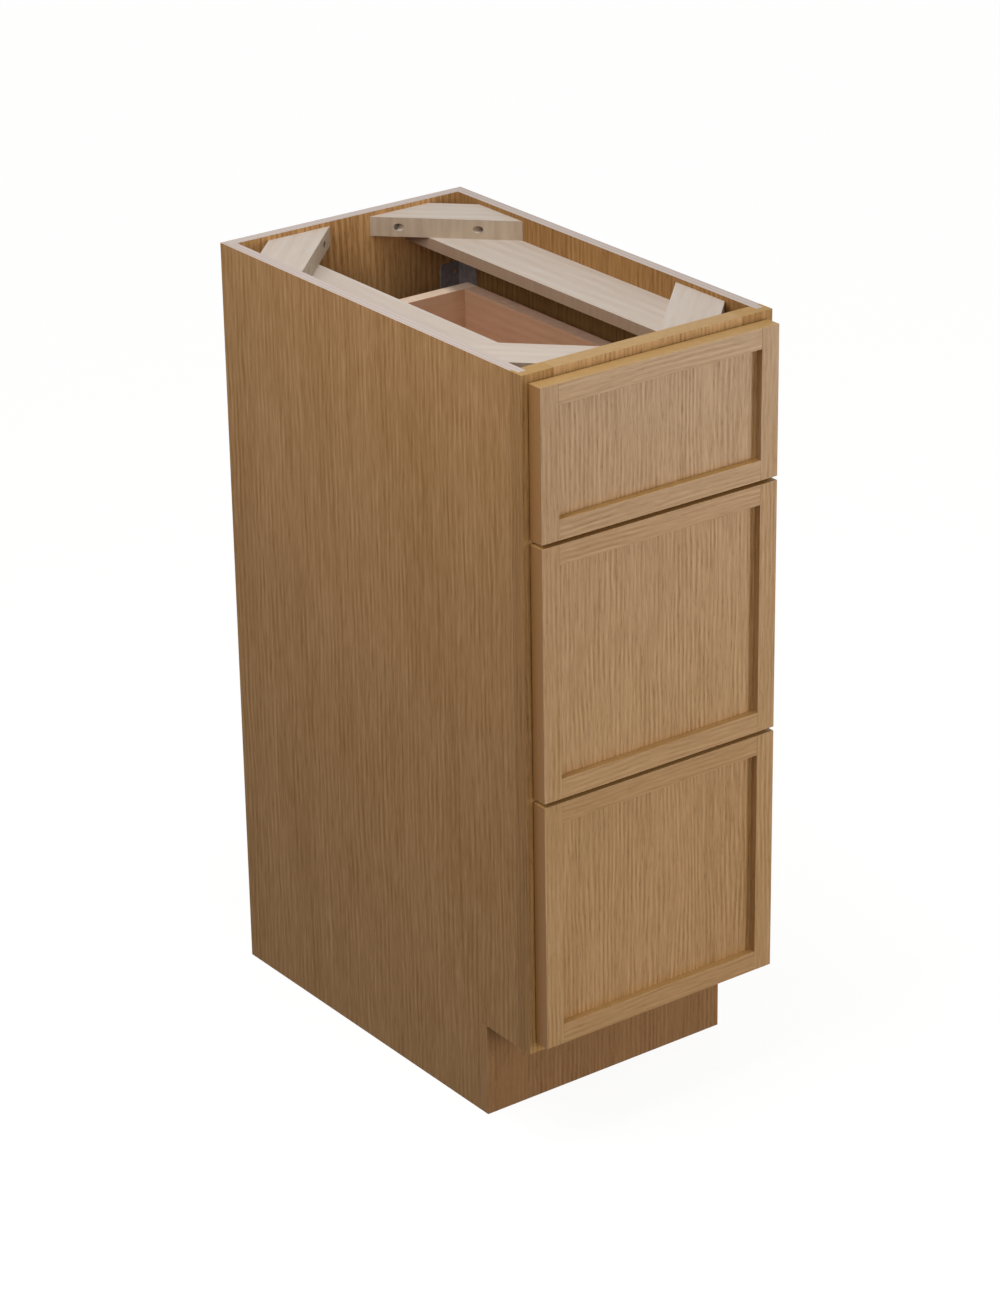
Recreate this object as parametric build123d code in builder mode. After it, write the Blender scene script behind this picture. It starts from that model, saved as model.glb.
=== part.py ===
from build123d import *
import os

# A vanity base cabinet with a face frame and three drawers on undermount runners.
# Millimetres, +Z up, the front towards -Y, the origin on the floor at the middle of the footprint.

# Carcass
cabinet_width = 304.8
cabinet_height = 825.5
carcass_depth = 514.4  # back of the cabinet to the front of the face frame
panel_thickness = 12.7  # plywood sides, back and bottom
rabbet_depth = 6.35  # how far the back and the bottom enter the sides
toe_height = 103.3
toe_recess = 73.5  # face of the toe kick behind the front of the face frame
toe_board_thickness = 12.7

# Face frame
frame_thickness = 19.05
frame_bar_width = 38.1  # stiles, top rail and bottom rail
middle_rail_height = 25.4  # the two rails between drawers
tenon_length = 9.5
tenon_thickness = 6.35
tenon_shoulder = 6.35
tongue_length = 9.5  # tongue of a side panel in the back of its stile
stile_lip = 3.2  # thin outer lip of the stile that covers the tongue

# Bracing under the counter top
block_leg = 114.3  # length of a corner block along each wall
block_clip = 38.1  # clipped off at the corner, along each wall
block_thickness = 21.0
block_drop = 4.9  # top of the blocks below the top of the cabinet
stretcher_width = 69.85
stretcher_thickness = 12.7

# Five-piece drawer fronts
front_thickness = 18.0
upper_front_height = 157.9  # the middle and the lower front share the rest of the height
front_gap = 4.2  # between one front and the next
side_reveal = 7.0
top_reveal = 8.7
bottom_reveal = 11.8  # lower front above the foot of the face frame
front_bar_width = 21.5  # stiles and rails
front_panel_recess = 7.9  # face of the panel behind the face of its frame
front_groove_width = 6.35
front_groove_depth = 8.0
bumper_thickness = 1.0
bumper_radius = 4.0

# Drawer boxes
box_wall = 15.875
box_side_clearance = 4.8  # box to stile, on each side
box_lift = 6.35  # box above the rail under it
box_rear_clearance = 56.65  # box to the back of the cabinet
upper_box_margin = 88.05  # how much higher the upper front is than its box
lower_box_margin = 89.9  # the same for the middle and the lower front
box_bottom_thickness = 6.35
box_bottom_rise = 12.7  # room under the box bottom for the runners
box_groove_depth = 6.35
tail_pitch = 25.4  # about this far from one dovetail to the next
tail_share = 0.62  # wide end of a tail, as a share of the pitch
tail_slope = 1 / 7

# Undermount runners
runner_sheet = 1.2
runner_bend = 1.2
runner_clearance = 0.4  # between one member and the next
runner_rib_width = 10.0  # rib of the cabinet member that the others ride on
runner_flange_height = 30.0
runner_inset = 1.4  # drawer member to box wall
runner_setback = 2.0  # cabinet member behind the front of the face frame, and rib behind the box front
runner_rear_gap = 42.0  # rear end of the cabinet member to the back of the cabinet
runner_leg_gap = 1.0  # legs of the moving members above the floor of the cabinet member
intermediate_short = 12.0  # intermediate member shorter than the rib at the rear

# Rear brackets, which hold the runners to the back
bracket_sheet = 1.5
bracket_height = 79.8
bracket_side_length = 33.0
bracket_web_overlap = 24.0  # web beside the runner
bracket_corner_radius = 4.0
bracket_hole_radius = 3.0
bracket_hole_drop = 10.4
bracket_hole_inset = 9.0  # from the side of the cabinet

# Locking clips under the front of each box
clip_width = 24.0
clip_length = 46.0
clip_height = 8.5
clip_lever_length = 48.0
clip_lever_width = 9.0
clip_lever_thickness = 3.0
clip_corner_radius = 3.0

# Screws
screw_radius = 2.0
screw_head_radius = 3.6
screw_head_height = 2.0
screw_tip = 3.0
screw_drive_width = 2.4  # square recess in the head
screw_drive_depth = 1.3
screw_fit = 0.05  # hole wider than the screw, all round
screw_bite = 9.5  # length of screw in the last piece it enters
front_screw_bite = 7.0
block_screw_wood = 12.0  # wood under the head of a corner block's screw
block_bore_radius = 3.9  # bore that takes the head below the face of the block
block_wall_screw = 33.3  # from the tip of the block to the screw in the side
block_end_screw = 21.8  # from the tip of the block to the screw in the back or the front
front_screw_spread = 62.0  # from the middle of the drawer
front_screw_share = 1 / 4  # from the box bottom and from the top, as a share of the height between them
runner_screw_rise = 20.0  # above the foot of the runner
bracket_screw_rise = 20.0  # lower screw above the foot of the bracket
bracket_screw_pitch = 28.0

# Fits
glue_gap = 0.1
panel_play = 0.5  # room for the front's panel to swell in its frame

# Planes of the cabinet
half_width = cabinet_width / 2
inner_side_x = half_width - panel_thickness
opening_half = half_width - frame_bar_width
overall_depth = carcass_depth + bumper_thickness + front_thickness
back_y = overall_depth / 2
inner_back_y = back_y - panel_thickness
frame_front_y = back_y - carcass_depth
frame_back_y = frame_front_y + frame_thickness
frame_middle_y = frame_front_y + frame_thickness / 2
tongue_front_y = frame_back_y - tongue_length
toe_face_y = frame_front_y + toe_recess
toe_back_y = toe_face_y + toe_board_thickness
block_top = cabinet_height - block_drop
block_bottom = block_top - block_thickness
block_middle = block_bottom + block_thickness / 2
bottom_top = toe_height + panel_thickness

# Planes of the fronts and the boxes
front_back_y = frame_front_y - bumper_thickness
front_face_y = front_back_y - front_thickness
front_half = half_width - side_reveal
front_inner_half = front_half - front_bar_width
groove_face_y = front_face_y + front_panel_recess
groove_back_y = groove_face_y + front_groove_width
box_half = opening_half - box_side_clearance
box_inner_half = box_half - box_wall
box_front_inner_y = front_back_y + box_wall
box_rear_y = inner_back_y - box_rear_clearance
box_back_inner_y = box_rear_y - box_wall

# Places of the runner members across the cabinet
member_step = runner_sheet + runner_clearance
drawer_member_half = runner_rib_width / 2 + 2 * member_step
rib_x = box_inner_half - runner_inset - drawer_member_half
runner_front_y = frame_front_y + runner_setback
runner_rear_y = inner_back_y - runner_rear_gap
rib_front_y = box_front_inner_y + runner_setback

# Heights of the drawer fronts, from the top down, and of the rails that share their gaps
drawer_names = ("upper", "middle", "lower")
next_top = cabinet_height - top_reveal
lower_tops = next_top - upper_front_height - front_gap
lower_front_height = (lower_tops - front_gap - toe_height - bottom_reveal) / 2
front_heights = (upper_front_height, lower_front_height, lower_front_height)
box_margins = (upper_box_margin, lower_box_margin, lower_box_margin)
front_spans = {}
box_heights = {}
for drawer_name, front_height, box_margin in zip(drawer_names, front_heights, box_margins):
    front_spans[drawer_name] = (next_top - front_height, next_top)
    box_heights[drawer_name] = front_height - box_margin
    next_top -= front_height + front_gap


def rail_below(drawer):
    """Lower and upper edge of the rail behind the gap under a drawer front."""
    middle = front_spans[drawer][0] - front_gap / 2
    return (middle - middle_rail_height / 2, middle + middle_rail_height / 2)


rail_spans = {
    "top": (cabinet_height - frame_bar_width, cabinet_height),
    "upper": rail_below("upper"),
    "lower": rail_below("middle"),
    "bottom": (toe_height, toe_height + frame_bar_width),
}
seat_heights = dict(zip(drawer_names, (rail_spans[rail][1] for rail in ("upper", "lower", "bottom"))))


def board(x_span, y_span, z_span, mode=Mode.ADD):
    """A board between two limits along each axis, joined to or cut from the part being made."""
    spans = (x_span, y_span, z_span)
    with Locations(tuple((low + high) / 2 for low, high in spans)):
        Box(*(high - low for low, high in spans), mode=mode)


def drill(places, radius, start, end):
    """A round hole at each place, between two distances along the place's axis."""
    for place in places:
        with Locations(place.offset(start)):
            Cylinder(radius, end - start, align=(Align.CENTER, Align.CENTER, Align.MIN), mode=Mode.SUBTRACT)


def keep(piece, name):
    """Label a finished piece and write it to its own file."""
    piece.part.label = name
    export_step(piece.part, f"parts/{name}.step")


def screw(length):
    """A square-drive screw that points along +Z, with the underside of its head at the origin."""
    with BuildPart() as made:
        with BuildSketch(Plane.XZ):
            with BuildLine():
                Polyline(
                    (0, -screw_head_height),
                    (screw_head_radius, -screw_head_height),
                    (screw_head_radius, 0),
                    (screw_radius, 0),
                    (screw_radius, length - screw_tip),
                    (0, length),
                    close=True,
                )
            make_face()
        revolve(axis=Axis.Z)
        with BuildSketch(Plane.XY.offset(-screw_head_height)):
            Rectangle(screw_drive_width, screw_drive_width)
        extrude(amount=screw_drive_depth, mode=Mode.SUBTRACT)
    return made.part


def screw_group(places, length, name):
    """One screw at each place, kept together."""
    fastener = screw(length)
    with BuildPart() as group:
        with Locations(*places):
            add(fastener)
    keep(group, name)


# Screws of the corner blocks: one into the side, one into the back or the front rail.
# Each place is the seat of a screw head, with its axis towards the wall.
screw_hole_radius = screw_radius + screw_fit
block_screw_length = block_screw_wood + screw_bite
block_corners = {
    "rear_left": (-1, inner_back_y, -1),
    "rear_right": (1, inner_back_y, -1),
    "front_left": (-1, frame_back_y, 1),
    "front_right": (1, frame_back_y, 1),
}


def side_screw(corner):
    """Place of the screw from a corner block into the side panel."""
    side, wall_y, inward = block_corners[corner]
    from_corner = block_leg - block_wall_screw
    origin = (side * (inner_side_x - block_screw_wood), wall_y + inward * from_corner, block_middle)
    return Plane(origin, z_dir=(side, 0, 0))


def end_screw(corner):
    """Place of the screw from a corner block into the back or the front rail."""
    side, wall_y, inward = block_corners[corner]
    from_corner = block_leg - block_end_screw
    origin = (side * (inner_side_x - from_corner), wall_y + inward * block_screw_wood, block_middle)
    return Plane(origin, z_dir=(0, -inward, 0))


# Screws of the runners: through the flange into the stile, through the flange into the bracket's web,
# and through the bracket into the back.
runner_screw_length = runner_sheet + screw_bite


def runner_screws(drawer, side):
    """Places of the screws at the front and the rear of one cabinet member."""
    height = seat_heights[drawer] + runner_screw_rise
    head_x = side * (opening_half - runner_sheet)
    rear_y = runner_rear_y - bracket_web_overlap / 2
    return [Plane((head_x, y, height), z_dir=(side, 0, 0)) for y in (frame_middle_y, rear_y)]


def bracket_screws(drawer, side):
    """Places of the screws that hold one rear bracket to the back."""
    x = side * (opening_half + inner_side_x) / 2
    y = inner_back_y - bracket_sheet
    heights = [seat_heights[drawer] + bracket_screw_rise + step * bracket_screw_pitch for step in (0, 1)]
    return [Plane((x, y, height), z_dir=(0, 1, 0)) for height in heights]


both_sides = (-1, 1)
every_runner = [(drawer, side) for drawer in drawer_names for side in both_sides]
every_bracket_screw = [place for key in every_runner for place in bracket_screws(*key)]
every_runner_screw = [place for key in every_runner for place in runner_screws(*key)]

# Side panels: a toe notch, a tongue for the stile, a rabbet for the back and a dado for the bottom
for side, name in zip(both_sides, ("left", "right")):
    with BuildPart() as side_panel:
        with BuildSketch(Plane.YZ.offset(inner_side_x)):
            with BuildLine():
                Polyline(
                    (tongue_front_y, toe_height),
                    (toe_back_y, toe_height),
                    (toe_back_y, 0),
                    (back_y, 0),
                    (back_y, cabinet_height),
                    (tongue_front_y, cabinet_height),
                    close=True,
                )
            make_face()
        extrude(amount=panel_thickness)
        board(
            (half_width - stile_lip, half_width),
            (tongue_front_y, frame_back_y),
            (toe_height, cabinet_height),
            Mode.SUBTRACT,
        )
        rabbet_span = (inner_side_x, inner_side_x + rabbet_depth)
        board(rabbet_span, (inner_back_y, back_y), (0, cabinet_height), Mode.SUBTRACT)
        board(rabbet_span, (frame_back_y, inner_back_y), (toe_height, bottom_top), Mode.SUBTRACT)
        drill(
            [side_screw("rear_right"), side_screw("front_right")],
            screw_hole_radius,
            block_screw_wood,
            block_screw_length + screw_fit,
        )
        if side < 0:
            mirror(about=Plane.YZ, mode=Mode.REPLACE)
    keep(side_panel, f"{name}_side_panel")

# Back, in the rabbets of the sides
with BuildPart() as back_panel:
    back_half = inner_side_x + rabbet_depth
    board((-back_half, back_half), (inner_back_y, back_y), (0, cabinet_height))
    drill(
        [end_screw("rear_left"), end_screw("rear_right")],
        screw_hole_radius,
        block_screw_wood,
        block_screw_length + screw_fit,
    )
    drill(every_bracket_screw, screw_hole_radius, bracket_sheet, runner_screw_length + screw_fit)
keep(back_panel, "back_panel")

# Bottom, in the dados of the sides, on the toe kick
with BuildPart() as bottom_panel:
    board((-back_half, back_half), (frame_back_y, inner_back_y), (toe_height, bottom_top))
keep(bottom_panel, "bottom_panel")

# Toe kick, across the ends of both sides
with BuildPart() as toe_kick_board:
    board((-half_width, half_width), (toe_face_y, toe_back_y), (0, toe_height))
keep(toe_kick_board, "toe_kick_board")

# Stiles of the face frame: a groove for the side's tongue and a mortise for each rail
tenon_span = (frame_middle_y - tenon_thickness / 2, frame_middle_y + tenon_thickness / 2)
for side, name in zip(both_sides, ("left", "right")):
    with BuildPart() as frame_stile:
        board((opening_half, half_width), (frame_front_y, frame_back_y), (toe_height, cabinet_height))
        board(
            (inner_side_x, half_width - stile_lip),
            (tongue_front_y, frame_back_y),
            (toe_height, cabinet_height),
            Mode.SUBTRACT,
        )
        for low, high in rail_spans.values():
            board(
                (opening_half, opening_half + tenon_length),
                tenon_span,
                (low + tenon_shoulder, high - tenon_shoulder),
                Mode.SUBTRACT,
            )
        stile_screws = [runner_screws(drawer, 1)[0] for drawer in drawer_names]
        drill(stile_screws, screw_hole_radius, runner_sheet, runner_screw_length + screw_fit)
        if side < 0:
            mirror(about=Plane.YZ, mode=Mode.REPLACE)
    keep(frame_stile, f"frame_{name}_stile")

# Rails of the face frame, with a tenon at each end
for rail, (low, high) in rail_spans.items():
    with BuildPart() as frame_rail:
        board((-opening_half, opening_half), (frame_front_y, frame_back_y), (low, high))
        tenon_half = opening_half + tenon_length - glue_gap
        board((-tenon_half, tenon_half), tenon_span, (low + tenon_shoulder, high - tenon_shoulder))
        if rail == "top":
            drill(
                [end_screw("front_left"), end_screw("front_right")],
                screw_hole_radius,
                block_screw_wood,
                block_screw_length + screw_fit,
            )
    keep(frame_rail, f"frame_{rail}_rail")

# Flat stretchers along both sides, under the corner blocks
for side, name in zip(both_sides, ("left", "right")):
    with BuildPart() as top_stretcher:
        board(
            (inner_side_x - stretcher_width, inner_side_x),
            (frame_back_y, inner_back_y),
            (block_bottom - stretcher_thickness, block_bottom),
        )
        if side < 0:
            mirror(about=Plane.YZ, mode=Mode.REPLACE)
    keep(top_stretcher, f"{name}_top_stretcher")

# Corner blocks: a strip mitred at both ends, bored for two screws
for corner, (side, wall_y, inward) in block_corners.items():
    with BuildPart() as corner_block:
        with BuildSketch(Plane.XY.offset(block_bottom)):
            with BuildLine():
                wall_x = side * inner_side_x
                Polyline(
                    (wall_x - side * block_leg, wall_y),
                    (wall_x - side * block_clip, wall_y),
                    (wall_x, wall_y + inward * block_clip),
                    (wall_x, wall_y + inward * block_leg),
                    close=True,
                )
            make_face()
        extrude(amount=block_thickness)
        places = [side_screw(corner), end_screw(corner)]
        drill(places, screw_hole_radius, 0, block_screw_wood)
        drill(places, block_bore_radius, -block_leg, 0)
    keep(corner_block, f"corner_block_{corner}")

every_block_screw = [place for corner in block_corners for place in (side_screw(corner), end_screw(corner))]
screw_group(every_block_screw, block_screw_length, "corner_block_screws")

# Rear brackets: a flange on the side, a flange on the back with a round hole near its top,
# and a low web that the runner is screwed to
with BuildPart() as rear_brackets:
    for seat in seat_heights.values():
        bracket_top = seat + bracket_height
        with BuildSketch(Plane.XZ.offset(-inner_back_y)):
            with Locations(((opening_half + inner_side_x) / 2, seat + bracket_height / 2)):
                Rectangle(inner_side_x - opening_half, bracket_height)
            fillet(vertices().group_by(Axis.Y)[-1].sort_by(Axis.X)[0], bracket_corner_radius)
            with Locations((inner_side_x - bracket_hole_inset, bracket_top - bracket_hole_drop)):
                Circle(bracket_hole_radius, mode=Mode.SUBTRACT)
        extrude(amount=bracket_sheet)
        with BuildSketch(Plane.YZ.offset(inner_side_x)):
            with Locations((inner_back_y - bracket_side_length / 2, seat + bracket_height / 2)):
                Rectangle(bracket_side_length, bracket_height)
            fillet(vertices().group_by(Axis.Y)[-1].sort_by(Axis.X)[0], bracket_corner_radius)
        extrude(amount=-bracket_sheet)
        board(
            (opening_half, opening_half + bracket_sheet),
            (runner_rear_y - bracket_web_overlap, inner_back_y),
            (seat, seat + runner_flange_height),
        )
    right_bracket_screws = [place for drawer in drawer_names for place in bracket_screws(drawer, 1)]
    drill(right_bracket_screws, screw_hole_radius, 0, bracket_sheet)
    drill(
        [runner_screws(drawer, 1)[1] for drawer in drawer_names],
        screw_hole_radius,
        runner_sheet,
        runner_sheet + bracket_sheet,
    )
    mirror(about=Plane.YZ)
keep(rear_brackets, "rear_brackets")

screw_group(every_runner_screw + every_bracket_screw, runner_screw_length, "runner_screws")


def tails(wide_y, narrow_y, z_span, spare):
    """Outlines of the dovetails along one end of a box side, wide at the outside of the corner."""
    low, high = z_span
    count = max(1, round((high - low) / tail_pitch))
    pitch = (high - low) / count
    wide_half = pitch * tail_share / 2 + spare
    narrow_half = wide_half - abs(wide_y - narrow_y) * tail_slope
    for index in range(count):
        middle = low + (index + 1 / 2) * pitch
        Polygon(
            (wide_y, middle - wide_half),
            (wide_y, middle + wide_half),
            (narrow_y, middle + narrow_half),
            (narrow_y, middle - narrow_half),
            align=None,
        )


def runner_hat(half_span, top, foot):
    """Line of a moving runner member seen from the front: two legs and a roof, over the rib."""
    FilletPolyline(
        (rib_x - half_span, foot),
        (rib_x - half_span, top),
        (rib_x + half_span, top),
        (rib_x + half_span, foot),
        radius=runner_bend,
    )


for drawer in drawer_names:
    seat = seat_heights[drawer]
    box_low = seat + box_lift
    box_high = box_low + box_heights[drawer]
    bottom_low = box_low + box_bottom_rise
    bottom_high = bottom_low + box_bottom_thickness
    front_low, front_high = front_spans[drawer]

    # Runner members, as pairs: the sheet is traced along its middle line and drawn out along the drawer
    half_sheet = runner_sheet / 2
    member_foot = seat + runner_sheet + runner_leg_gap
    rib_top = bottom_low - 2 * member_step
    with BuildPart() as cabinet_runners:
        with BuildSketch(Plane.XZ.offset(-runner_rear_y)):
            with BuildLine():
                rib_half = runner_rib_width / 2 - half_sheet
                FilletPolyline(
                    (opening_half - half_sheet, seat + runner_flange_height),
                    (opening_half - half_sheet, seat + half_sheet),
                    (rib_x + rib_half, seat + half_sheet),
                    (rib_x + rib_half, rib_top - half_sheet),
                    (rib_x - rib_half, rib_top - half_sheet),
                    (rib_x - rib_half, seat),
                    radius=runner_bend,
                )
            trace(line_width=runner_sheet)
        extrude(amount=runner_rear_y - runner_front_y)
        board(
            (rib_x - runner_rib_width, rib_x + runner_rib_width / 2),
            (runner_front_y, rib_front_y),
            (seat, bottom_low),
            Mode.SUBTRACT,
        )
        drill(runner_screws(drawer, 1), screw_hole_radius, 0, runner_sheet)
        mirror(about=Plane.YZ)
    keep(cabinet_runners, f"{drawer}_cabinet_runners")

    with BuildPart() as intermediate_runners:
        with BuildSketch(Plane.XZ.offset(intermediate_short - runner_rear_y)):
            with BuildLine():
                runner_hat(
                    runner_rib_width / 2 + runner_clearance + half_sheet,
                    rib_top + runner_clearance + half_sheet,
                    member_foot,
                )
            trace(line_width=runner_sheet)
        extrude(amount=runner_rear_y - intermediate_short - rib_front_y)
        mirror(about=Plane.YZ)
    keep(intermediate_runners, f"{drawer}_intermediate_runners")

    with BuildPart() as drawer_runners:
        with BuildSketch(Plane.XZ.offset(-box_rear_y)):
            with BuildLine():
                runner_hat(drawer_member_half - half_sheet, bottom_low - half_sheet, member_foot)
            trace(line_width=runner_sheet)
        extrude(amount=box_rear_y - box_front_inner_y)
        mirror(about=Plane.YZ)
    keep(drawer_runners, f"{drawer}_drawer_runners")

    # Box sides: tails at both ends, a groove for the bottom that runs out under the back
    with BuildPart() as box_sides:
        with BuildSketch(Plane.YZ.offset(box_inner_half)):
            with BuildLine():
                Polyline(
                    (box_front_inner_y, box_low),
                    (box_rear_y, box_low),
                    (box_rear_y, bottom_high),
                    (box_back_inner_y, bottom_high),
                    (box_back_inner_y, box_high),
                    (box_front_inner_y, box_high),
                    close=True,
                )
            make_face()
            tails(front_back_y, box_front_inner_y, (box_low, box_high), 0)
            tails(box_rear_y, box_back_inner_y, (bottom_high, box_high), 0)
        extrude(amount=box_wall)
        board(
            (box_inner_half, box_inner_half + box_groove_depth),
            (box_front_inner_y - box_groove_depth, box_rear_y),
            (bottom_low, bottom_high),
            Mode.SUBTRACT,
        )
        mirror(about=Plane.YZ)
    keep(box_sides, f"{drawer}_box_sides")

    # Box front and box back: boards with sockets for the tails
    front_screw_margin = (box_high - bottom_high) * front_screw_share
    screw_heights = (bottom_high + front_screw_margin, box_high - front_screw_margin)
    front_screws = [
        Plane((side * front_screw_spread, box_front_inner_y, height), z_dir=(0, -1, 0))
        for side in both_sides
        for height in screw_heights
    ]
    groove_half = box_inner_half + box_groove_depth
    with BuildPart() as box_front:
        board((-box_half, box_half), (front_back_y, box_front_inner_y), (box_low, box_high))
        with BuildSketch(Plane.YZ.offset(box_inner_half)):
            tails(front_back_y, box_front_inner_y, (box_low, box_high), glue_gap)
        extrude(amount=box_wall, mode=Mode.SUBTRACT)
        with BuildSketch(Plane.YZ.offset(-box_inner_half)):
            tails(front_back_y, box_front_inner_y, (box_low, box_high), glue_gap)
        extrude(amount=-box_wall, mode=Mode.SUBTRACT)
        board(
            (-groove_half, groove_half),
            (box_front_inner_y - box_groove_depth, box_front_inner_y),
            (bottom_low, bottom_high),
            Mode.SUBTRACT,
        )
        drill(front_screws, screw_hole_radius, 0, box_wall)
    keep(box_front, f"{drawer}_box_front")

    with BuildPart() as box_back:
        board((-box_half, box_half), (box_back_inner_y, box_rear_y), (bottom_high, box_high))
        with BuildSketch(Plane.YZ.offset(box_inner_half)):
            tails(box_rear_y, box_back_inner_y, (bottom_high, box_high), glue_gap)
        extrude(amount=box_wall, mode=Mode.SUBTRACT)
        with BuildSketch(Plane.YZ.offset(-box_inner_half)):
            tails(box_rear_y, box_back_inner_y, (bottom_high, box_high), glue_gap)
        extrude(amount=-box_wall, mode=Mode.SUBTRACT)
    keep(box_back, f"{drawer}_box_back")

    with BuildPart() as box_bottom:
        bottom_half = groove_half - glue_gap
        board(
            (-bottom_half, bottom_half),
            (box_front_inner_y - box_groove_depth + glue_gap, box_rear_y),
            (bottom_low, bottom_high),
        )
    keep(box_bottom, f"{drawer}_box_bottom")

    # Locking clips: a body beside the runner, under the box bottom, with a thin release lever
    with BuildPart() as locking_clips:
        clip_outer_x = rib_x - drawer_member_half - runner_clearance
        clip_front_y = box_front_inner_y + runner_clearance
        with BuildSketch(Plane.XY.offset(bottom_low)):
            with Locations((clip_outer_x - clip_width / 2, clip_front_y + clip_length / 2)):
                RectangleRounded(clip_width, clip_length, clip_corner_radius)
        extrude(amount=-clip_height)
        with BuildSketch(Plane.XY.offset(bottom_low)):
            with Locations((clip_outer_x - clip_lever_length / 2, clip_front_y + clip_lever_width / 2)):
                SlotOverall(clip_lever_length, clip_lever_width)
        extrude(amount=-clip_lever_thickness)
        mirror(about=Plane.YZ)
    keep(locking_clips, f"{drawer}_locking_clips")

    # Five-piece front: grooved stiles and rails round a raised-back panel
    front_span = (front_face_y, front_back_y)
    groove_span = (groove_face_y, groove_back_y)
    tongue_half = front_inner_half + front_groove_depth - glue_gap
    with BuildPart() as front_stiles:
        board((front_inner_half, front_half), front_span, (front_low, front_high))
        board(
            (front_inner_half, front_inner_half + front_groove_depth),
            groove_span,
            (front_low, front_high),
            Mode.SUBTRACT,
        )
        mirror(about=Plane.YZ)
    keep(front_stiles, f"{drawer}_front_stiles")

    inner_low = front_low + front_bar_width
    inner_high = front_high - front_bar_width
    with BuildPart() as front_rails:
        for low, high in ((front_low, inner_low), (inner_high, front_high)):
            board((-front_inner_half, front_inner_half), front_span, (low, high))
            board((-tongue_half, tongue_half), groove_span, (low, high))
        board(
            (-front_half, front_half),
            groove_span,
            (inner_low - front_groove_depth, inner_high + front_groove_depth),
            Mode.SUBTRACT,
        )
    keep(front_rails, f"{drawer}_front_rails")

    with BuildPart() as front_panel:
        panel_half = front_inner_half - panel_play
        board(
            (-panel_half, panel_half),
            (groove_face_y, front_back_y),
            (inner_low + panel_play, inner_high - panel_play),
        )
        panel_tongue = front_groove_depth - panel_play
        board(
            (-front_inner_half - panel_tongue, front_inner_half + panel_tongue),
            groove_span,
            (inner_low - panel_tongue, inner_high + panel_tongue),
        )
        drill(front_screws, screw_hole_radius, box_wall, box_wall + front_screw_bite + screw_fit)
    keep(front_panel, f"{drawer}_front_panel")

    screw_group(front_screws, box_wall + front_screw_bite, f"{drawer}_front_screws")

    # Bumpers: flat discs between the corners of the front and the face frame
    with BuildPart() as bumpers:
        corner_inset = front_bar_width / 2
        bumper_x = front_half - corner_inset
        bumper_heights = (front_low + corner_inset, front_high - corner_inset)
        with BuildSketch(Plane.XZ.offset(-frame_front_y)):
            with Locations(*((side * bumper_x, height) for side in both_sides for height in bumper_heights)):
                Circle(bumper_radius)
        extrude(amount=bumper_thickness)
    keep(bumpers, f"{drawer}_bumpers")
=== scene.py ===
"""Looks of the vanity drawer base cabinet: woods, steel, plastic and rubber, in soft studio light."""

import math
from dataclasses import dataclass, replace

import bpy
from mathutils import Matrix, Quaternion, Vector


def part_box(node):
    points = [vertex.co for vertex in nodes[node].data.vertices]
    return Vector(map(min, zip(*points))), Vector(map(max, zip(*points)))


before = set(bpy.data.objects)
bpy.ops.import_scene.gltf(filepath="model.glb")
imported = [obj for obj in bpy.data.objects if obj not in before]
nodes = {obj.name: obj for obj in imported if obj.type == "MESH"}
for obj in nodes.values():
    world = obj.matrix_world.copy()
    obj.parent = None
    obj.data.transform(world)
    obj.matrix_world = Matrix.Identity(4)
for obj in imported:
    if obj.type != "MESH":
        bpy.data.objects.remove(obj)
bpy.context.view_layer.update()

MM = 0.001

# Camera, in degrees, metres and millimetres of lens
camera_target = Vector((0.0013, 0.0024, 0.4181))
camera_azimuth = -36.24
camera_elevation = 23.84
camera_roll = -0.903
camera_distance = 4.1186
camera_lens = 109.85


@dataclass
class Lamp:
    """A flat lamp that faces a point. Lengths are in metres, power in watts."""

    place: tuple
    target: tuple
    width: float
    height: float
    power: float


# Light: a tall narrow strip at the right front, and soft boxes in front, at the left and above
lamps = {
    "key": Lamp(place=(1.65, -2.17, 0.5), target=(0.0, -0.267, 0.5), width=0.35, height=1.0, power=23.5),
    "front": Lamp(place=(-0.35, -3.0, 0.85), target=(0.0, -0.2, 0.5), width=1.4, height=1.4, power=19.9),
    "side": Lamp(place=(-1.0, -0.1, 1.55), target=(-0.15, 0.0, 0.7), width=0.8, height=0.8, power=6.7),
    "top": Lamp(place=(-0.36, -0.12, 2.4), target=(0.0, 0.0, 0.8), width=0.5, height=0.5, power=13.1),
}
ambient_light = 0.34

# Floor and surroundings
floor_radius = 9.0
floor_sides = 64
floor_glow = 0.92
floor_tone = (92, 90, 88)
floor_roughness = 1.0
white = (255, 255, 255)

# Eased edges
weld_distance = 0.01 * MM
flat_angle = math.radians(0.5)
edge_angle = math.radians(40)
edge_steps = 2
fine_edge = 0.4 * MM
front_edge = 0.25 * MM
block_edge = 0.5 * MM

# Grain that all woods share. A size is across, across and along the grain.
drift_size = (60 * MM, 60 * MM, 240 * MM)
drift_reach = 14 * MM
ripple_size = (12 * MM, 12 * MM, 20 * MM)
ripple_reach = 0.9 * MM
fade_size = (18 * MM, 18 * MM, 60 * MM)
dash_size = (1.1 * MM, 1.1 * MM, 12 * MM)
dash_range = (0.56, 0.70)
edge_streak_size = (8 * MM, 8 * MM, 70 * MM)
noise_range = (0.35, 0.65)
streak_share = 0.6
thread_share = 0.8
thread_fineness = 4
thread_shortness = 4
band_share = 0.35
band_breadth = 6
band_reach = 4
soft_detail = 2.0
plain_detail = 1.0
middle_tone = 0.5
board_shift = 3.0
pore_roughness = 0.3
face_limits = (0.4, 0.6)
# Limits of the painted light and shade on faces that look sideways: how far a face looks sideways times its
# distance from the middle, in metres
sideways_painted_limits = (40 * MM, 60 * MM)

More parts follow.
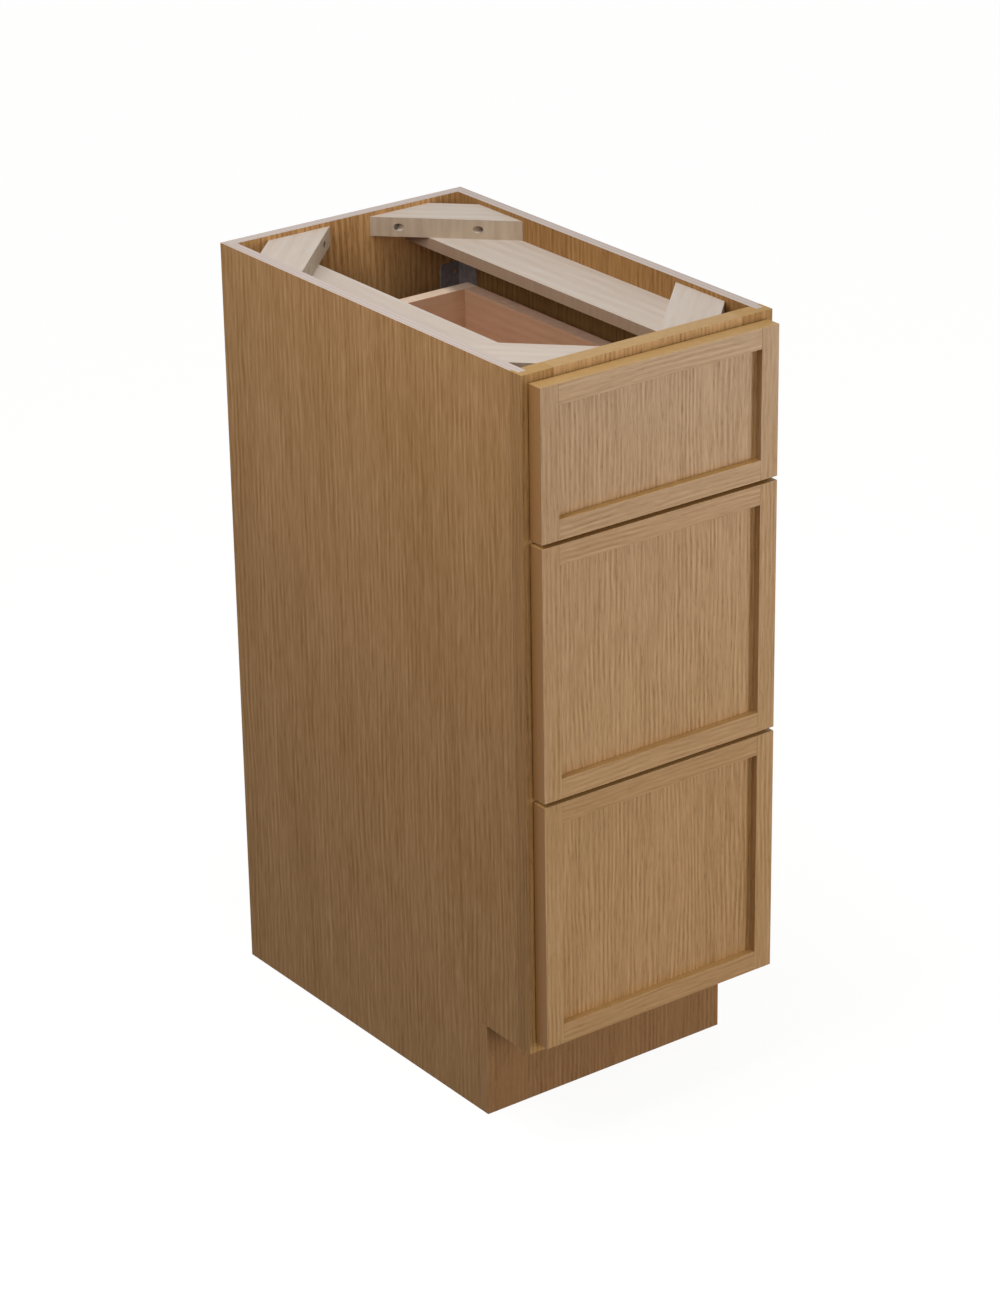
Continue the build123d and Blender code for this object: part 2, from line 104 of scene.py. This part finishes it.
# Calmer grain of the stiles and rails round each front panel
calm_contrast = 1.05
calm_pores = 0.4

# Stiles of the fronts: less gloss, and a paler, bluer tone that paints in the sheen the gloss no longer
# gives
stile_gloss = 0.3
stile_painted_sheen_tint = (1.034, 1.064, 1.168)

# Heights between which the painted light on the ledges of the upper front gives way to the tone of the
# other edges
upper_middle = sum(corner[2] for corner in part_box("upper_front_panel")) / 2
ledge_painted_limits = (upper_middle, upper_middle + MM)

# Plywood
ply_pitch = 2.54 * MM
ply_line_range = (0.55, 1.0)

# Screen colours follow the sRGB curve, which is straight below its knee and a power above it
screen_top = 255
curve_knee = 0.04045
curve_slope = 12.92
curve_offset = 0.055
curve_power = 2.4
opaque = 1.0


def colour(red, green, blue):
    """Linear colour of a screen colour whose parts run from 0 to 255."""
    linear = []
    for part in (red, green, blue):
        share = part / screen_top
        if share <= curve_knee:
            linear.append(share / curve_slope)
        else:
            linear.append(((share + curve_offset) / (1 + curve_offset)) ** curve_power)
    return linear + [opaque]


def tint(tone, shares):
    """A screen colour with its red, green and blue each times a share."""
    return tuple(part * share for part, share in zip(tone, shares))


class Graph:
    """The node tree of one material, with short calls that add a node and wire its inputs."""

    def __init__(self, name):
        self.material = bpy.data.materials.new(name)
        self.material.use_nodes = True
        self.tree = self.material.node_tree
        self.shader = self.tree.nodes["Principled BSDF"]

    def feed(self, socket, value):
        """Wire a socket to another one, or set it to a plain value."""
        if isinstance(value, bpy.types.NodeSocket):
            self.tree.links.new(value, socket)
        else:
            socket.default_value = value

    def add(self, kind, inputs, **settings):
        """Add a node, set its options and feed its inputs."""
        node = self.tree.nodes.new(kind)
        for key, value in settings.items():
            setattr(node, key, value)
        for key, value in inputs.items():
            self.feed(node.inputs[key], value)
        return node

    def math(self, operation, *values):
        """Result of one operation on one to three numbers."""
        return self.add("ShaderNodeMath", dict(enumerate(values)), operation=operation).outputs[0]

    def weigh(self, base, terms):
        """A base number plus each value times its weight."""
        total = base
        for value, weight in terms:
            total = self.math("MULTIPLY_ADD", value, weight, total)
        return total

    def spread(self, value, limits):
        """A number moved from the range between two limits onto 0 to 1, and held there."""
        inputs = {"Value": value, "From Min": limits[0], "From Max": limits[1]}
        return self.add("ShaderNodeMapRange", inputs).outputs["Result"]

    def blend(self, share, first, second):
        """A colour between two others."""
        node = self.add("ShaderNodeMix", {"Factor": share}, data_type="RGBA", clamp_factor=True)
        inputs = {socket.identifier: socket for socket in node.inputs}
        self.feed(inputs["A_Color"], first)
        self.feed(inputs["B_Color"], second)
        outputs = {socket.identifier: socket for socket in node.outputs}
        return outputs["Result_Color"]

    def parts(self, vector):
        """The three numbers of a vector."""
        return self.add("ShaderNodeSeparateXYZ", {"Vector": vector}).outputs

    def noise(self, vector, size, detail=soft_detail):
        """Soft noise whose blots have the given size along each axis, in metres."""
        scaled = self.add("ShaderNodeMapping", {"Vector": vector, "Scale": [1 / length for length in size]})
        inputs = {"Vector": scaled.outputs["Vector"], "Scale": 1.0, "Detail": detail}
        return self.add("ShaderNodeTexNoise", inputs).outputs

    def bump(self, height, depth):
        """Bump the surface by a height from 0 to 1, of the given depth in metres."""
        node = self.add("ShaderNodeBump", {"Height": height, "Distance": depth})
        self.feed(self.shader.inputs["Normal"], node.outputs["Normal"])


@dataclass
class Wood:
    """What one kind of wood looks like. Colours run from 0 to 255, lengths are in metres. Where there is an
    outer tone, it is painted light and shade on the faces that look sideways, away from the middle of the
    cabinet. Where there is a ledge tone, it is painted light on the edges below the middle of the upper
    front."""

    light: tuple
    dark: tuple
    pore: tuple
    pore_share: float
    edge_light: tuple
    edge_dark: tuple
    ring_pitch: float
    ring_share: float
    streak_length: float
    contrast: float
    roughness: float
    gloss: float
    bump_depth: float
    sideways_painted_light: tuple = None
    sideways_painted_dark: tuple = None
    ledge_painted_light: tuple = None
    ledge_painted_dark: tuple = None


oak = Wood(
    light=(185, 144, 89),
    dark=(148, 109, 60),
    pore=(112, 78, 40),
    pore_share=0.6,
    edge_light=(174, 138, 86),
    edge_dark=(168, 132, 81),
    ring_pitch=5.4 * MM,
    ring_share=0.28,
    streak_length=95 * MM,
    contrast=1.55,
    roughness=0.42,
    gloss=0.4,
    bump_depth=0.1 * MM,
)
oak_ply = replace(
    oak,
    light=(186, 141, 94),
    dark=(149, 107, 57),
    edge_light=(191, 177, 168),
    edge_dark=(175, 160, 153),
    ring_pitch=7.5 * MM,
    ring_share=0.2,
    contrast=1.4,
    gloss=0.14,
)
# Side panels: the inner faces are darker, painted shade, and the outer faces paler, painted light
side_ply_painted_light_and_shade = replace(
    oak_ply,
    light=(168, 126, 79),
    dark=(133, 95, 53),
    gloss=0.04,
    sideways_painted_light=(194, 151, 107),
    sideways_painted_dark=(156, 114, 66),
)
# Toe kick darker than the oak above it: painted shade under the overhang; its end takes the painted outer
# tone of the sides
painted_shade_toe_oak = replace(
    oak,
    light=(162, 122, 83),
    dark=(129, 92, 59),
    contrast=1.0,
    gloss=side_ply_painted_light_and_shade.gloss,
    sideways_painted_light=side_ply_painted_light_and_shade.sideways_painted_light,
    sideways_painted_dark=side_ply_painted_light_and_shade.sideways_painted_dark,
)
back_ply = replace(oak_ply, light=(203, 157, 105), dark=(165, 121, 72), contrast=2.0)
# Face frame: the stiles are darker, painted shade, and the rails paler, painted light, on one oak; sideways
# faces take a painted tone too
painted_shade_frame_wood = replace(
    oak,
    light=(187, 146, 95),
    dark=(148, 110, 66),
    contrast=1.1,
    gloss=0.04,
    sideways_painted_light=(184, 142, 95),
    sideways_painted_dark=(145, 105, 65),
)
painted_light_frame_rail_wood = replace(painted_shade_frame_wood, light=(204, 163, 111), dark=(162, 123, 77), gloss=0.16)
# Faces of the fronts that look sideways take a darker tone: painted shade
front_oak = replace(oak, gloss=0.5, sideways_painted_light=(162, 115, 64), sideways_painted_dark=(154, 108, 60))
# Paler edges on the middle and lower fronts: painted light, meant for the ledges under their panels
painted_light_edged_oak = replace(front_oak, edge_light=(194, 154, 97), edge_dark=(188, 148, 91))
# Tones of the three fronts, paler and bluer towards the upper one, are painted sheen; the upper front's
# ledge tone is painted light
painted_light_front_woods = {
    "upper": replace(
        front_oak,
        light=(185, 147, 102),
        dark=(149, 109, 58),
        ledge_painted_light=(207, 166, 103),
        ledge_painted_dark=(200, 158, 97),
    ),
    "middle": replace(painted_light_edged_oak, light=(184, 144, 97), dark=(149, 107, 53)),
    "lower": replace(painted_light_edged_oak, light=(180, 139, 90), dark=(145, 103, 48)),
}
bracing = Wood(
    light=(199, 188, 177),
    dark=(188, 172, 157),
    pore=(160, 138, 120),
    pore_share=0.2,
    edge_light=(181, 162, 140),
    edge_dark=(169, 149, 127),
    ring_pitch=16 * MM,
    ring_share=0.3,
    streak_length=220 * MM,
    contrast=0.9,
    roughness=0.65,
    gloss=0.2,
    bump_depth=0.06 * MM,
)
# Corner blocks at the rear left and front right: paler edges, painted light
painted_light_bracing = replace(bracing, edge_light=(204, 189, 170), edge_dark=(194, 177, 156))
# Stretchers: darker edges than the other bracing, painted shade
painted_shade_stretcher_wood = replace(bracing, edge_light=(160, 135, 113), edge_dark=(155, 129, 107))
drawer_wood = Wood(
    light=(201, 163, 133),
    dark=(186, 144, 115),
    pore=(160, 114, 88),
    pore_share=0.3,
    edge_light=(222, 188, 163),
    edge_dark=(212, 177, 151),
    ring_pitch=12 * MM,
    ring_share=0.3,
    streak_length=160 * MM,
    contrast=0.8,
    roughness=0.45,
    gloss=0.25,
    bump_depth=0.05 * MM,
)
# Fronts and backs of the drawer boxes paler than their sides: painted light
painted_light_drawer_end_wood = replace(
    drawer_wood,
    light=(212, 177, 147),
    dark=(197, 158, 128),
    edge_light=(237, 213, 190),
    edge_dark=(226, 200, 175),
)

# Turns that bring each direction of the grain upright, and the corner blocks' turn about the upright
right_angle = math.radians(90)
grain_turns = {"x": (0, -right_angle, 0), "y": (right_angle, 0, 0), "z": (0, 0, 0)}
block_turn = math.radians(45)
axis_names = ("x", "y", "z")


def wood_material(name, wood, grain, shown, layered=False, yaw=0.0):
    """A wood with grain along one axis, turned about the upright first. Faces that look along a shown
    axis have this grain. The others are edges, which have the layers of plywood or faint streaks."""
    graph = Graph(name)
    place = graph.add("ShaderNodeTexCoord", {})
    shift = graph.math("MULTIPLY", graph.add("ShaderNodeObjectInfo", {}).outputs["Random"], board_shift)
    inputs = {0: place.outputs["Object"], 1: shift}
    moved = graph.add("ShaderNodeVectorMath", inputs, operation="ADD").outputs[0]
    yawed = graph.add("ShaderNodeMapping", {"Vector": moved, "Rotation": (0, 0, yaw)}).outputs[0]
    turned = graph.add("ShaderNodeMapping", {"Vector": yawed, "Rotation": grain_turns[grain]}).outputs[0]
    bent = turned
    for size, reach in ((drift_size, drift_reach), (ripple_size, ripple_reach)):
        inputs = {0: graph.noise(turned, size)["Color"], 1: (reach,) * 3, 2: bent}
        bent = graph.add("ShaderNodeVectorMath", inputs, operation="MULTIPLY_ADD").outputs[0]

    pitch, length = wood.ring_pitch, wood.streak_length
    fine, broad = pitch / thread_fineness, pitch * band_breadth
    bent_parts = graph.parts(bent)
    turns = graph.math("MULTIPLY", graph.math("ADD", bent_parts[0], bent_parts[1]), math.tau / pitch)
    fade = graph.spread(graph.noise(bent, fade_size)["Fac"], noise_range)
    ring = graph.math("MULTIPLY", graph.math("SINE", turns), fade)
    streak = graph.noise(bent, (pitch, pitch, length))["Fac"]
    thread = graph.noise(bent, (fine, fine, length / thread_shortness))["Fac"]
    band = graph.noise(bent, (broad, broad, length * band_reach), plain_detail)["Fac"]
    waves = ((streak, streak_share), (thread, thread_share), (band, band_share))
    middle = middle_tone - middle_tone * sum(share for _, share in waves) * wood.contrast
    waves += ((ring, wood.ring_share),)
    tone = graph.weigh(middle, [(value, share * wood.contrast) for value, share in waves])
    dash = graph.spread(graph.noise(bent, dash_size, plain_detail)["Fac"], dash_range)
    pores = graph.math("MULTIPLY", graph.math("MULTIPLY", dash, tone), wood.pore_share)
    shade = graph.blend(tone, colour(*wood.light), colour(*wood.dark))
    shade = graph.blend(pores, shade, colour(*wood.pore))

    normal = graph.parts(place.outputs["Normal"])
    position = graph.parts(place.outputs["Object"])
    # Painted light and shade: faces that look sideways, away from the middle, take the outer tone
    if wood.sideways_painted_light:
        outer = graph.blend(tone, colour(*wood.sideways_painted_light), colour(*wood.sideways_painted_dark))
        away = graph.spread(graph.math("MULTIPLY", normal[0], position[0]), sideways_painted_limits)
        shade = graph.blend(away, shade, outer)
    if layered:
        depth = position[axis_names.index(shown)]
        line = graph.math("DIVIDE", graph.math("PINGPONG", depth, ply_pitch), ply_pitch)
        faint = graph.spread(line, ply_line_range)
    else:
        faint = graph.spread(graph.noise(yawed, edge_streak_size)["Fac"], noise_range)
    edge = graph.blend(faint, colour(*wood.edge_light), colour(*wood.edge_dark))
    # Painted light: edges below the middle of the upper front take the paler ledge tone
    if wood.ledge_painted_light:
        ledge = graph.blend(faint, colour(*wood.ledge_painted_light), colour(*wood.ledge_painted_dark))
        edge = graph.blend(graph.spread(position[2], ledge_painted_limits), ledge, edge)
    squares = [(normal[axis_names.index(axis)], normal[axis_names.index(axis)]) for axis in shown]
    facing = graph.spread(graph.weigh(0.0, squares), face_limits)
    shade = graph.blend(facing, edge, shade)

    graph.feed(graph.shader.inputs["Base Color"], shade)
    graph.feed(graph.shader.inputs["Roughness"], graph.weigh(wood.roughness, [(pores, pore_roughness)]))
    graph.feed(graph.shader.inputs["Specular IOR Level"], wood.gloss)
    graph.bump(graph.math("SUBTRACT", thread, pores), wood.bump_depth)
    return graph.material


@dataclass
class Finish:
    """A plated or moulded surface: two colours in blots, a fine grain over them, and how rough it is.
    Colours run from 0 to 255, lengths are in metres."""

    pale: tuple
    deep: tuple
    metallic: float
    roughness: float
    dulling: float
    blot_size: float
    grain_size: float
    bump_depth: float


zinc_sheet = Finish(
    pale=(154, 145, 144),
    deep=(138, 128, 128),
    metallic=0.2,
    roughness=0.6,
    dulling=0.12,
    blot_size=6 * MM,
    grain_size=0.6 * MM,
    bump_depth=0.01 * MM,
)
plated_screw = replace(zinc_sheet, pale=(196, 190, 174), deep=(172, 166, 150), metallic=0.5, roughness=0.35)
moulded_plastic = Finish(
    pale=(126, 126, 128),
    deep=(112, 112, 115),
    metallic=0.0,
    roughness=0.5,
    dulling=0.15,
    blot_size=9 * MM,
    grain_size=0.4 * MM,
    bump_depth=0.02 * MM,
)
soft_rubber = replace(moulded_plastic, pale=(216, 216, 210), deep=(204, 204, 198), roughness=0.35)


def finish_material(name, finish):
    """A plated or moulded material: rougher where the deep colour is, with a fine bumped grain."""
    graph = Graph(name)
    place = graph.add("ShaderNodeTexCoord", {}).outputs["Object"]
    blot = graph.spread(graph.noise(place, (finish.blot_size,) * 3)["Fac"], noise_range)
    shade = graph.blend(blot, colour(*finish.pale), colour(*finish.deep))
    graph.feed(graph.shader.inputs["Base Color"], shade)
    graph.feed(graph.shader.inputs["Metallic"], finish.metallic)
    graph.feed(graph.shader.inputs["Roughness"], graph.weigh(finish.roughness, [(blot, finish.dulling)]))
    graph.bump(graph.noise(place, (finish.grain_size,) * 3)["Fac"], finish.bump_depth)
    return graph.material


def ease_edges(thing, width):
    """Round the sharp edges of a node with modifiers, which leave its mesh as it is."""
    weld = thing.modifiers.new("weld", "WELD")
    weld.merge_threshold = weld_distance
    flatten = thing.modifiers.new("flat_faces", "DECIMATE")
    flatten.decimate_type = "DISSOLVE"
    flatten.angle_limit = flat_angle
    bevel = thing.modifiers.new("eased_edges", "BEVEL")
    bevel.width = width
    bevel.segments = edge_steps
    bevel.angle_limit = edge_angle
    thing.modifiers.new("even_normals", "WEIGHTED_NORMAL")


def dress(thing, material):
    """Give an object one material all over."""
    thing.data.materials.clear()
    thing.data.materials.append(material)


side_veneer = wood_material("oak_veneer_sides", side_ply_painted_light_and_shade, "z", "x", layered=True)
back_veneer = wood_material("oak_veneer_back", back_ply, "z", "y", layered=True)
floor_veneer = wood_material("oak_veneer_bottom", oak_ply, "y", "z", layered=True)
toe_wood = wood_material("oak_toe_kick", painted_shade_toe_oak, "z", "xy")
frame_stile_oak = wood_material("oak_frame_stiles", painted_shade_frame_wood, "z", "xy")
frame_rail_oak = wood_material("oak_frame_rails", painted_light_frame_rail_wood, "z", "xy")
bracing_along = wood_material("bracing_along", painted_shade_stretcher_wood, "y", "z")
bracing_rising = wood_material("bracing_rising", painted_light_bracing, "x", "z", yaw=-block_turn)
bracing_falling = wood_material("bracing_falling", bracing, "x", "z", yaw=block_turn)
drawer_along = wood_material("drawer_wood_along", drawer_wood, "y", "x")
drawer_across = wood_material("drawer_wood_across", painted_light_drawer_end_wood, "x", "y")
drawer_bottom = wood_material("drawer_plywood", drawer_wood, "y", "z", layered=True)
zinc = finish_material("zinc_plated_sheet", zinc_sheet)
screw_steel = finish_material("zinc_plated_screw", plated_screw)
clip_plastic = finish_material("clip_plastic", moulded_plastic)
bumper_rubber = finish_material("bumper_rubber", soft_rubber)

# The first ending that fits a node's name gives its material and the width of its eased edges
finishes = (
    ("side_panel", side_veneer, fine_edge),
    ("back_panel", back_veneer, fine_edge),
    ("bottom_panel", floor_veneer, fine_edge),
    ("toe_kick_board", toe_wood, fine_edge),
    ("top_stretcher", bracing_along, fine_edge),
    ("rear_left", bracing_rising, block_edge),
    ("front_right", bracing_rising, block_edge),
    ("rear_right", bracing_falling, block_edge),
    ("front_left", bracing_falling, block_edge),
    ("_stile", frame_stile_oak, fine_edge),
    ("_rail", frame_rail_oak, fine_edge),
    ("box_sides", drawer_along, fine_edge),
    ("box_front", drawer_across, fine_edge),
    ("box_back", drawer_across, fine_edge),
    ("box_bottom", drawer_bottom, None),
    ("screws", screw_steel, None),
    ("runners", zinc, None),
    ("brackets", zinc, None),
    ("clips", clip_plastic, None),
    ("bumpers", bumper_rubber, None),
)
for drawer, wood in painted_light_front_woods.items():
    rail_wood = replace(wood, contrast=calm_contrast, pore_share=calm_pores)
    # Paler, bluer stiles: painted sheen in place of the gloss
    stile_painted_sheen_light = tint(wood.light, stile_painted_sheen_tint)
    stile_painted_sheen_dark = tint(wood.dark, stile_painted_sheen_tint)
    stile_painted_sheen_wood = replace(rail_wood, light=stile_painted_sheen_light, dark=stile_painted_sheen_dark, gloss=stile_gloss)
    panel = wood_material(f"oak_panel_{drawer}", wood, "z", "xy")
    stiles = wood_material(f"oak_stiles_{drawer}", stile_painted_sheen_wood, "z", "xy")
    rails = wood_material(f"oak_rails_{drawer}", rail_wood, "x", "y")
    finishes += (
        (f"{drawer}_front_stiles", stiles, front_edge),
        (f"{drawer}_front_rails", rails, front_edge),
        (f"{drawer}_front_panel", panel, fine_edge),
    )
for node_name, thing in nodes.items():
    fitting = (finish for finish in finishes if node_name.endswith(finish[0]))
    _, material, edge_width = next(fitting)
    dress(thing, material)
    if edge_width:
        ease_edges(thing, edge_width)

scene = bpy.context.scene
scene.view_settings.view_transform = "Standard"


def shown_rays(tree):
    """1 for the rays that show the surroundings: camera, glossy and transmission rays."""
    path = tree.nodes.new("ShaderNodeLightPath")
    total = path.outputs["Is Camera Ray"]
    for ray in ("Is Glossy Ray", "Is Transmission Ray"):
        larger = tree.nodes.new("ShaderNodeMath")
        larger.operation = "MAXIMUM"
        tree.links.new(total, larger.inputs[0])
        tree.links.new(path.outputs[ray], larger.inputs[1])
        total = larger.outputs[0]
    return total


# Surroundings: white where they show, and a plain ambient light on the object
world = bpy.data.worlds.new("studio")
world.use_nodes = True
scene.world = world
ambient = world.node_tree.nodes["Background"]
ambient.inputs["Color"].default_value = colour(*white)
ambient.inputs["Strength"].default_value = ambient_light
backdrop = world.node_tree.nodes.new("ShaderNodeBackground")
backdrop.inputs["Color"].default_value = colour(*white)
choice = world.node_tree.nodes.new("ShaderNodeMixShader")
world.node_tree.links.new(shown_rays(world.node_tree), choice.inputs[0])
world.node_tree.links.new(ambient.outputs[0], choice.inputs[1])
world.node_tree.links.new(backdrop.outputs[0], choice.inputs[2])
world.node_tree.links.new(choice.outputs[0], world.node_tree.nodes["World Output"].inputs["Surface"])

# Floor: pale, with the shadow of the object on it, and glowing up to white where it shows
bpy.ops.mesh.primitive_circle_add(vertices=floor_sides, radius=floor_radius, fill_type="NGON")
floor = bpy.context.object
floor.name = "studio_floor"
floor_graph = Graph("studio_floor")
floor_graph.feed(floor_graph.shader.inputs["Base Color"], colour(*floor_tone))
floor_graph.feed(floor_graph.shader.inputs["Roughness"], floor_roughness)
glow = floor_graph.add("ShaderNodeEmission", {"Color": colour(*white)})
floor_graph.feed(
    glow.inputs["Strength"], floor_graph.math("MULTIPLY", shown_rays(floor_graph.tree), floor_glow)
)
lit = floor_graph.add("ShaderNodeAddShader", {0: floor_graph.shader.outputs[0], 1: glow.outputs[0]})
floor_graph.tree.links.new(lit.outputs[0], floor_graph.tree.nodes["Material Output"].inputs["Surface"])
dress(floor, floor_graph.material)


def face(thing, place, target):
    """Put a lamp or camera at a place and turn it towards a point."""
    thing.location = place
    thing.rotation_mode = "QUATERNION"
    thing.rotation_quaternion = (Vector(target) - Vector(place)).to_track_quat("-Z", "Y")
    scene.collection.objects.link(thing)


for lamp_name, lamp in lamps.items():
    light = bpy.data.lights.new(lamp_name, "AREA")
    light.shape = "RECTANGLE"
    light.size = lamp.width
    light.size_y = lamp.height
    light.energy = lamp.power
    face(bpy.data.objects.new(lamp_name, light), lamp.place, lamp.target)

azimuth = math.radians(camera_azimuth)
elevation = math.radians(camera_elevation)
level = math.cos(elevation)
outward = Vector((math.sin(azimuth) * level, -math.cos(azimuth) * level, math.sin(elevation)))
lens = bpy.data.cameras.new("camera")
lens.lens = camera_lens
camera = bpy.data.objects.new("camera", lens)
face(camera, camera_target + outward * camera_distance, camera_target)
camera.rotation_quaternion @= Quaternion((0, 0, 1), math.radians(camera_roll))
scene.camera = camera
